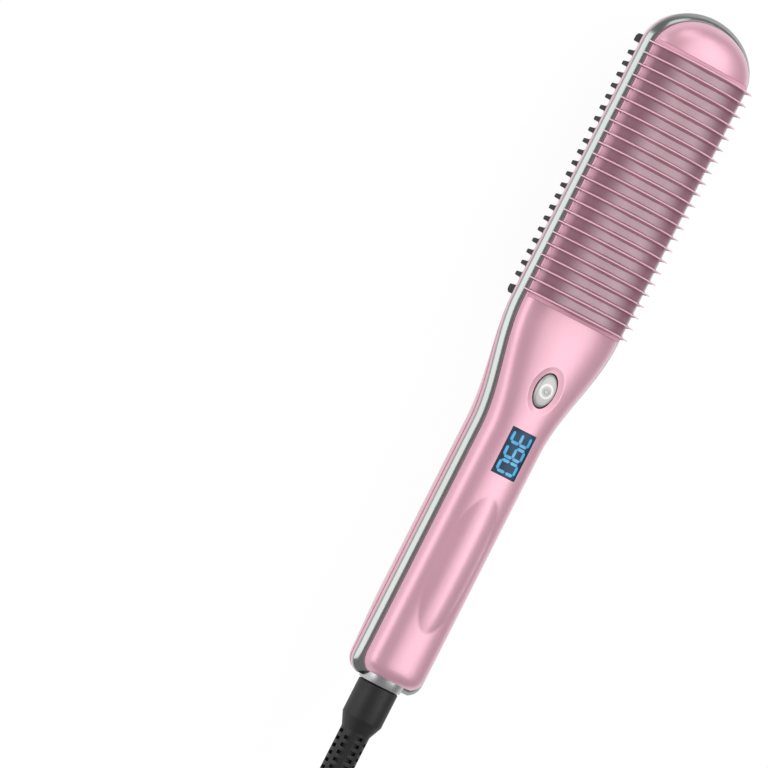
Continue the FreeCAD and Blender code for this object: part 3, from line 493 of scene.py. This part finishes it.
rear_rings = half_casing(-1, 5.3, back_fall, BACK_POWER, 110, shape=back_shape)
rear = mesh_object("rear_casing", grid(rear_rings))
rear_room = grid(half_casing(-1, 3.6, room_fall, BACK_POWER, 26, WALL, 3.2, edge=0.1))
SCREWS = ((FINGER_X, 0.0), (141.0, 15.0), (141.0, -15.0))
WELL = 2.2
wells = [grid(lathe([(-30.0, WELL), (-3.0, WELL)], 40, "Z") + np.array([x, y, 0])) for x, y in SCREWS]
carve(rear, [rear_room, comb_block(0.1, -30, -2), joined(wells), cone])
dress(rear, PINK, nodes=["rear_shell"])

bosses = []
for x, y in SCREWS:
    deep = -13.6 if y == 0 else -back_fall(x) * superellipse(abs(y) / half_width(x), BACK_POWER) + 0.6
    sleeve = lathe([(deep, WELL), (deep, 3.0), (-4.0, 3.0), (-4.0, 1.1), (-5.6, 1.1), (-5.6, WELL)], 40, "Z")
    bosses.append(grid(sleeve + np.array([x, y, 0]), wrap_rings=True))
dress(mesh_object("rear_screw_bosses", joined(bosses)), PINK)


def belt(name, corners, flat=False):
    """A band round the casing through corners of (level, inset), cut away for the collar."""
    item = mesh_object(name, grid([outline(*corner, flat) for corner in corners], wrap_rings=True))
    carve(item, [cone])
    return item


BAND = [(-1.8, 0.25), (-1.88, 0.08), (-2.05, 0.0), (-3.2, 0.0), (-4.35, 0.0), (-4.52, 0.08), (-4.6, 0.25)]
BAND += [(-4.6, 0.7), (-5.3, 0.7), (-5.3, 2.2), (-1.8, 2.2)]
dress(belt("middle_band", BAND), PINK, nodes=["middle_frame"])

share = np.linspace(0.0, 1.0, 17)
bow = 0.5 * (1 - np.abs(2 * share - 1) ** 3.4)
STRIP = [(-1.7, 3.2), *zip(-1.7 + 3.03 * share, -0.2 + 2.4 * share - bow), (1.33, 3.2)]
dress(belt("side_strip", STRIP, True), TRIM, nodes=["side_trim"], angle=50)

# Painted shade: a dark band set in the crevice between the front casing and the strip, where only shade
# falls.
GAP_SHADE_CORNERS = [(1.36, 3.2), (1.36, 2.05), (1.5, 2.15), (1.76, 2.25), (1.76, 3.2)]
dress(belt("strip_gap_band", GAP_SHADE_CORNERS, True), GAP_SHADE_TONE)

COLLAR = [(0.0, 5.08), (0.0, 8.05), (0.12, 8.28), (0.4, 8.42), (3.0, 8.85), (7.3, 9.5), (7.6, 9.4)]
COLLAR += [(7.6, 5.08)]
collar = mesh_object("end_collar", grid(lathe(COLLAR, 128), wrap_rings=True))
dress(collar, SILVER, nodes=["cord_collar"])


# Heating plate and fins

FIN_RISE, FIN_HALF, FIN_TOP = 13.3, 24.6, 16.6
FIN_RADIUS = (FIN_RISE ** 2 + FIN_HALF ** 2) / (2 * FIN_RISE)
FIN_CENTRE = FIN_TOP - FIN_RADIUS
PLATE_HALF = 21.8
FIN_PROFILE = ((0.0, -1), (0.5, -1), (0.9, -1), (0.9, 1), (0.5, 1), (0.0, 1))
RIM_PROFILE = ((0.88, -1), (0.97, -1), (0.99, -0.7), (1.0, 0.0), (0.99, 0.7), (0.97, 1), (0.88, 1))


def plate_body():
    """The plate between the fins: a bent sheet that carries on the casing's front."""
    rings = []
    for x in np.append(np.arange(153.4, 259.0, 1.2), 259.48):
        outer = arc(half_width(x, STEP), front_rise(x, 0.0, STEP), FRONT_POWER, PLATE_FOOT, 110)
        inner = arc(half_width(x, STEP + WALL), front_rise(x, WALL, STEP), FRONT_POWER, PLATE_FOOT, 60)
        y, z = (np.concatenate([out, back[::-1]]) for out, back in zip(outer, inner))
        rings.append(np.stack([np.full(len(y), x), y, z], axis=1))
    return grid(rings)


def fin(x, profile, least):
    """One crescent fin, or its rim, that runs over the plate from rail to rail, thick at its root."""
    limit = math.atan2(FIN_HALF, PLATE_FOOT - FIN_CENTRE)
    rings = []
    for angle in np.linspace(-limit, limit, 73):
        across, up = math.sin(angle), math.cos(angle)

        def in_plate(radius):
            side, rise = abs(radius * across) / PLATE_HALF, max(FIN_CENTRE + radius * up, 0) / FRONT_HEIGHT
            return side ** FRONT_POWER + rise ** FRONT_POWER < 1

        root = min(furthest(10.0, FIN_RADIUS, in_plate, 40) - 0.4, FIN_RADIUS - 0.5)
        ring = []
        for share, side in profile:
            radius = root + (FIN_RADIUS - root) * share
            foot = 0.22 * max(0.0, 1 - (radius - root) / 1.4) ** 2
            thick = max((FIN_RADIUS - radius) * 0.1136 + 0.07 + foot, least)
            ring.append((x + side * thick, radius * across, max(FIN_CENTRE + radius * up, PLATE_FOOT)))
        rings.append(ring)
    return grid(rings)


dress(mesh_object("plate_sheet", plate_body()), PLATE, nodes=["heating_plate"], angle=40)
FIN_PLACES = 155.4 + PITCH * np.arange(23)
# Fin flanks in a darker pink: painted shade.
fins = mesh_object("plate_fins", joined([fin(x, FIN_PROFILE, 0.0) for x in FIN_PLACES]))
dress(fins, FIN, angle=40)
# A brighter copy of each fin's top edge: painted highlight.
rims = mesh_object("fin_rim_highlights", joined([fin(x, RIM_PROFILE, 0.24) for x in FIN_PLACES]))
dress(rims, RIM, angle=50)


# Comb teeth

ROWS, ROW_PITCH = 3, 9.9
TOOTH_START, TOOTH_COUNT, TOOTH_THICKNESS = 160.0, 21, 2.4
NEAR_POST, FAR_POST = 154.6, 258.2
SHOULDER, TOOTH_TIP = -24.4, -33.5


def prism(profile, middle, thickness):
    """A blade with the given side profile of (x, z), centred on a y."""
    rim = np.array([(x, 0.0, z) for x, z in profile])
    half = np.array([0.0, thickness / 2, 0.0])
    return grid([rim + half + (0, middle, 0), rim - half + (0, middle, 0)])


def tooth_profile(x, root):
    """A broad tooth that narrows below its shoulder."""
    right = [(2.075, root), (2.075, SHOULDER)]
    for angle in np.linspace(0, math.pi / 2, 8)[1:]:
        right.append((1.05 + 1.025 * math.cos(angle), SHOULDER - 4.5 * math.sin(angle)))
    right += [(0.92, -31.4), (0.8, -33.2), (0.55, TOOTH_TIP)]
    left = [(-side, z) for side, z in right[::-1]]
    return [(x + side, z) for side, z in right + left]


def post_profile(x, root, outward):
    """A thick end tooth, slanted at its outward corner."""
    corners = [(-2.45, root), (2.45, root), (2.45, -31.9), (2.1, -32.6), (1.5, -33.3), (0.85, TOOTH_TIP)]
    corners += [(-0.6, TOOTH_TIP), (-0.85, -33.3)]
    return [(x + outward * side, z) for side, z in corners]


for number in range(ROWS):
    y = ROW_PITCH * (number - 1)
    root = -back_at(y) + 0.8
    profiles = [tooth_profile(TOOTH_START + PITCH * i, root) for i in range(TOOTH_COUNT)]
    profiles += [post_profile(NEAR_POST, root, -1), post_profile(FAR_POST, root, 1)]
    blades = [prism(profile, y, TOOTH_THICKNESS) for profile in profiles]
    row = mesh_object(f"teeth_row_{number + 1}", joined(blades))
    bevelled(row, 0.32, 3, 50)
    dress(row, COMB, nodes=[f"comb_row_{number + 1}"], angle=40)


# Display

def sheet(x0, x1, y0, y1, low, edge):
    """A block whose top follows the front of the casing, with a small chamfer."""
    x = np.concatenate([[x0], np.linspace(x0 + edge, x1 - edge, 25), [x1]])
    y = np.concatenate([[y0], np.linspace(y0 + edge, y1 - edge, 17), [y1]])
    rows, columns = len(x), len(y)
    across, along = np.meshgrid(y, x)
    top = front_at(along, across)
    border = np.ones((rows, columns), bool)
    border[1:-1, 1:-1] = False
    top = np.where(border, top - edge, top)
    points = np.stack([along, across, top], axis=2).reshape(-1, 3)
    rim = [i * columns for i in range(rows)] + [(rows - 1) * columns + j for j in range(1, columns)]
    rim += [i * columns + columns - 1 for i in range(rows - 2, -1, -1)]
    rim += list(range(columns - 2, 0, -1))
    faces = []
    for i in range(rows - 1):
        for j in range(columns - 1):
            a = i * columns + j
            faces.append((a, a + columns, a + columns + 1, a + 1))
    base = len(points)
    bottom = points[rim] * np.array([1, 1, 0]) + np.array([0, 0, low])
    for k in range(len(rim)):
        m = (k + 1) % len(rim)
        faces.append((rim[k], rim[m], base + m, base + k))
    faces.append(tuple(range(base, base + len(rim))))
    return np.concatenate([points, bottom]), faces


dress(mesh_object("display_face", sheet(89.8, 108.2, -5.35, 5.35, low=6.9, edge=0.12)), LCD,
      nodes=["display_window"])

SEGMENTS = {
    "a": ((0, 1), (1, 1)), "b": ((1, 1), (1, 0.5)), "c": ((1, 0.5), (1, 0)), "d": ((0, 0), (1, 0)),
    "e": ((0, 0.5), (0, 0)), "f": ((0, 1), (0, 0.5)), "g": ((0, 0.5), (1, 0.5)),
}
NUMBER = ("abgcd", "abcdfg", "abcdef")
DIGIT_START, DIGIT_PITCH, DIGIT_WIDTH, DIGIT_HEIGHT = 107.1, 5.8, 4.2, 7.5
BAR_WIDTH, BAR_GAP, BAR_LIFT, BAR_THICKNESS = 1.15, 0.12, 0.04, 0.12


def bar(start, end):
    """One pointed segment of a digit, lying on the display's face."""
    start, end = np.array(start), np.array(end)
    along = (end - start) / np.linalg.norm(end - start)
    side = np.array([-along[1], along[0]]) * BAR_WIDTH / 2
    start, end = start + along * BAR_GAP, end - along * BAR_GAP
    inner = along * BAR_WIDTH / 2
    corners = [start, start + inner + side, end - inner + side, end, end - inner - side, start + inner - side]
    top = [(x, y, float(front_at(x, y)) + BAR_LIFT) for x, y in corners]
    return grid([top, [(x, y, z - BAR_THICKNESS) for x, y, z in top]])


digits = []
for place, lit in enumerate(NUMBER):
    left = DIGIT_START - DIGIT_PITCH * place
    for name in lit:
        ends = [(left - DIGIT_WIDTH * u, DIGIT_HEIGHT / 2 - DIGIT_HEIGHT * v) for u, v in SEGMENTS[name]]
        digits.append(bar(*ends))
dress(mesh_object("display_digits", joined(digits)), DIGIT)


# Power button

def dome(x, y):
    """Height of the button's top."""
    return DOME_TOP - DOME_RADIUS + np.sqrt(DOME_RADIUS ** 2 - (x - BUTTON_X) ** 2 - y ** 2)


def button_body(shares, foot):
    """The cap from rings at shares of its outline, each a drop below the dome, down to a flat foot."""
    angle = circle(128)
    rings = []
    for share, drop in shares:
        x, y = BUTTON_X + BUTTON_HALF[0] * share * np.cos(angle), BUTTON_HALF[1] * share * np.sin(angle)
        rings.append(np.stack([x, y, dome(x, y) - drop], axis=1))
    rings.append(np.stack([x, y, np.full(len(angle), foot)], axis=1))
    return grid(rings)


CAP_SHARES = [(0.02, 0.0)] + [(s, 0.0) for s in np.linspace(0.1, 0.84, 16)]
CAP_SHARES += [(0.86, 0.03), (0.88, 0.1), (0.955, 0.45), (0.98, 0.6), (1.0, 0.85)]
dress(mesh_object("button_cap", button_body(CAP_SHARES, 7.2)), CAP, "button",
      nodes=["power_button"], angle=50)


def disc_ring(inner, outer, lift):
    """A flat round inlay on the button's dome."""
    angle = circle(96)
    rings = []
    for radius, rise in ((inner, -0.1), (inner, lift), (inner + 0.06, lift + 0.03),
                         (outer - 0.06, lift + 0.03), (outer, lift), (outer, -0.1)):
        x, y = BUTTON_X + radius * np.cos(angle), radius * np.sin(angle)
        rings.append(np.stack([x, y, dome(x, y) + rise], axis=1))
    return grid(rings, wrap_rings=True)


def power_icon():
    """The usual sign for power: an open ring and a bar, drawn as raised lines."""
    radius, gap, half_line = 1.02, 0.66, 0.15
    ring_angles = np.linspace(gap, 2 * math.pi - gap, 40)
    open_ring = [(radius * math.cos(a), radius * math.sin(a)) for a in ring_angles]
    lines = []
    for points in (open_ring, [(0.35, 0.0), (0.8, 0.0), (1.4, 0.0)]):
        points = np.array(points)
        way = np.gradient(points, axis=0)
        way /= np.linalg.norm(way, axis=1)[:, None]
        side = np.stack([-way[:, 1], way[:, 0]], axis=1) * half_line
        rings = []
        for (x, y), (u, v) in zip(points, side):
            ring = []
            for sign, lift in ((1, -0.08), (1, 0.05), (-1, 0.05), (-1, -0.08)):
                px, py = BUTTON_X + x + sign * u, y + sign * v
                ring.append((px, py, float(dome(px, py)) + lift))
            rings.append(ring)
        lines.append(grid(rings))
    return joined(lines)


dress(mesh_object("button_ring", disc_ring(2.0, 2.95, 0.02)), INLAY, "button")
dress(mesh_object("button_disc", disc_ring(0.02, 1.95, 0.0)), GREY, "button")
dress(mesh_object("button_icon", power_icon()), MARK, "button")


def gap_shade_ring():
    """A dark ring round the hole that the button moves in: painted shade in the gap."""
    angle = circle(128)
    rings = []
    for grow, lift in ((0.1, -1.6), (0.1, -0.1), (0.4, 0.06), (0.52, -0.04), (0.52, -1.6)):
        x, y = BUTTON_X + (BUTTON_HALF[0] + grow) * np.cos(angle), (BUTTON_HALF[1] + grow) * np.sin(angle)
        z = front_shape(x, y, front_at(x, y)) + lift
        rings.append(np.stack([x, y, z], axis=1))
    return grid(rings, wrap_rings=True)


dress(mesh_object("button_gap_shade", gap_shade_ring()), GAP_RING_SHADE)


# Cord boot

BOOT_PROFILE = [(-8.0, 5.05), (-0.3, 5.05), (-0.3, 7.6), (-0.4, 7.83), (-0.65, 7.95), (-13.9, 7.95)]
BOOT_PROFILE += [(-14.3, 7.86), (-14.7, 7.7), (-18.8, 5.92), (-19.3, 5.77), (-20.0, 5.75), (-54.6, 5.75)]
BOOT_PROFILE += [(-55.0, 5.6), (-55.1, 5.3), (-55.1, 3.4), (-54.9, 3.2), (-8.0, 3.2)]
boot = mesh_object("boot", grid(lathe(BOOT_PROFILE, 96), wrap_rings=True))
SLOT_START, SLOT_PITCH, SLOT_SIDE = -20.3, 3.0, 1.35
slots = []
for column in range(8):
    c, s = math.cos(column * math.pi / 4), math.sin(column * math.pi / 4)
    for number in range(11):
        start = SLOT_START - SLOT_PITCH / 2 * (column % 2) - SLOT_PITCH * number
        points, faces = box((start - SLOT_SIDE, -SLOT_SIDE, 3.9), (start, SLOT_SIDE, 9.0))
        x, y, z = points.T
        slots.append((np.stack([x, y * c - z * s, y * s + z * c + AXIS_Z], axis=1), faces))
carve(boot, [joined(slots)])
bevelled(boot, 0.1, 2, 40)
dress(boot, BOOT, "cord_end", nodes=["cord_boot"], angle=40)


# Carried-over CAD nodes

slot_of = {row["node"]: row["material_slot"] for row in frame["record"]["subparts"]}
for name, node in frame["nodes"].items():
    node.data.materials.clear()
    node.data.materials.append(BY_SLOT[slot_of[name]])


# Studio

def aim(item, place, target):
    item.location = place
    item.rotation_euler = (Vector(target) - Vector(place)).to_track_quat("-Z", "Y").to_euler()


def lamp(name, place, target, size, power):
    """A soft rectangular lamp, in metres and watts."""
    light = bpy.data.lights.new(name, "AREA")
    light.shape = "RECTANGLE"
    light.size, light.size_y = size
    light.energy = power
    item = bpy.data.objects.new(name, light)
    bpy.context.scene.collection.objects.link(item)
    aim(item, place, target)


MIDDLE, AHEAD = (0.0, 0.0, 0.03), (0.5, 0.0, 0.03)
lamp("strip_light", (0.5, -0.55, 0.95), AHEAD, (1.9, 0.31), 5.0)
lamp("top_light", (0.5, -0.19, 1.08), AHEAD, (1.9, 0.46), 3.3)
lamp("side_light", (0.0, 1.06, 0.3), MIDDLE, (1.3, 0.58), 4.8)
lamp("end_light", (1.0, 0.2, 0.6), MIDDLE, (0.5, 0.6), 1.5)


def backdrop_light(tree, shown, unseen, output, mirrored=False):
    """White where the camera sees it, or a mirror too, and plain light otherwise."""
    path = tree.nodes.new("ShaderNodeLightPath")
    seen = path.outputs["Is Camera Ray"]
    if mirrored:
        either = tree.nodes.new("ShaderNodeMath")
        either.operation = "MAXIMUM"
        tree.links.new(seen, either.inputs[0])
        tree.links.new(path.outputs["Is Glossy Ray"], either.inputs[1])
        seen = either.outputs["Value"]
    mix = tree.nodes.new("ShaderNodeMixShader")
    tree.links.new(seen, mix.inputs["Fac"])
    tree.links.new(unseen, mix.inputs[1])
    tree.links.new(shown, mix.inputs[2])
    tree.links.new(mix.outputs["Shader"], output)


world = bpy.data.worlds.new("studio")
bpy.context.scene.world = world
world.use_nodes = True
nodes = world.node_tree.nodes
WHITE = (1, 1, 1, 1)
plain = set_sockets(nodes["Background"], Color=WHITE, Strength=0.38)
white = set_sockets(nodes.new("ShaderNodeBackground"), Color=WHITE, Strength=1.0)
backdrop_light(world.node_tree, white.outputs["Background"], plain.outputs["Background"],
               nodes["World Output"].inputs["Surface"])

floor_mesh = bpy.data.meshes.new("floor")
FLOOR_CORNERS = ((-4, -4), (4, -4), (4, 4), (-4, 4))
floor_mesh.from_pydata([(x, y, -0.2 * MM) for x, y in FLOOR_CORNERS], [], [(0, 1, 2, 3)])
floor = bpy.data.objects.new("floor", floor_mesh)
bpy.context.scene.collection.objects.link(floor)
paper = bpy.data.materials.new("paper")
paper.use_nodes = True
tree = paper.node_tree
base = set_sockets(tree.nodes["Principled BSDF"], Base_Color=(0.82, 0.82, 0.82, 1), Roughness=0.9)
glow = set_sockets(tree.nodes.new("ShaderNodeEmission"), Strength=1.04)
veil = set_sockets(tree.nodes.new("ShaderNodeMixShader"), Fac=0.92)
tree.links.new(base.outputs["BSDF"], veil.inputs[1])
tree.links.new(glow.outputs["Emission"], veil.inputs[2])
backdrop_light(tree, veil.outputs["Shader"], base.outputs["BSDF"],
               tree.nodes["Material Output"].inputs["Surface"], mirrored=True)
floor_mesh.materials.append(paper)


# Camera: from the left of the handle, well above it, with the head turned up to the right

VIEW_DISTANCE, VIEW_WIDTH = 2.4, 0.2844
tilt, turn = math.radians(27.0), math.radians(26.9)
toward = Vector((0.0, math.sin(tilt), math.cos(tilt)))
sideways = Vector((0.0, -math.cos(tilt), math.sin(tilt)))
along = Vector((1.0, 0.0, 0.0))
up = math.cos(turn) * along - math.sin(turn) * sideways
right = math.sin(turn) * along + math.cos(turn) * sideways
centre = Vector(SHIFT + np.array([100.4, 0.0, 0.0])) * MM - 0.05 * sideways
camera_data = bpy.data.cameras.new("camera")
camera_data.sensor_width = 36.0
camera_data.lens = camera_data.sensor_width * VIEW_DISTANCE / VIEW_WIDTH
camera_data.clip_end = 20.0
camera = bpy.data.objects.new("camera", camera_data)
bpy.context.scene.collection.objects.link(camera)
turned = Matrix((right, up, toward)).transposed().to_4x4()
camera.matrix_world = Matrix.Translation(centre + toward * VIEW_DISTANCE) @ turned
bpy.context.scene.camera = camera

bpy.context.scene.view_settings.view_transform = "Standard"
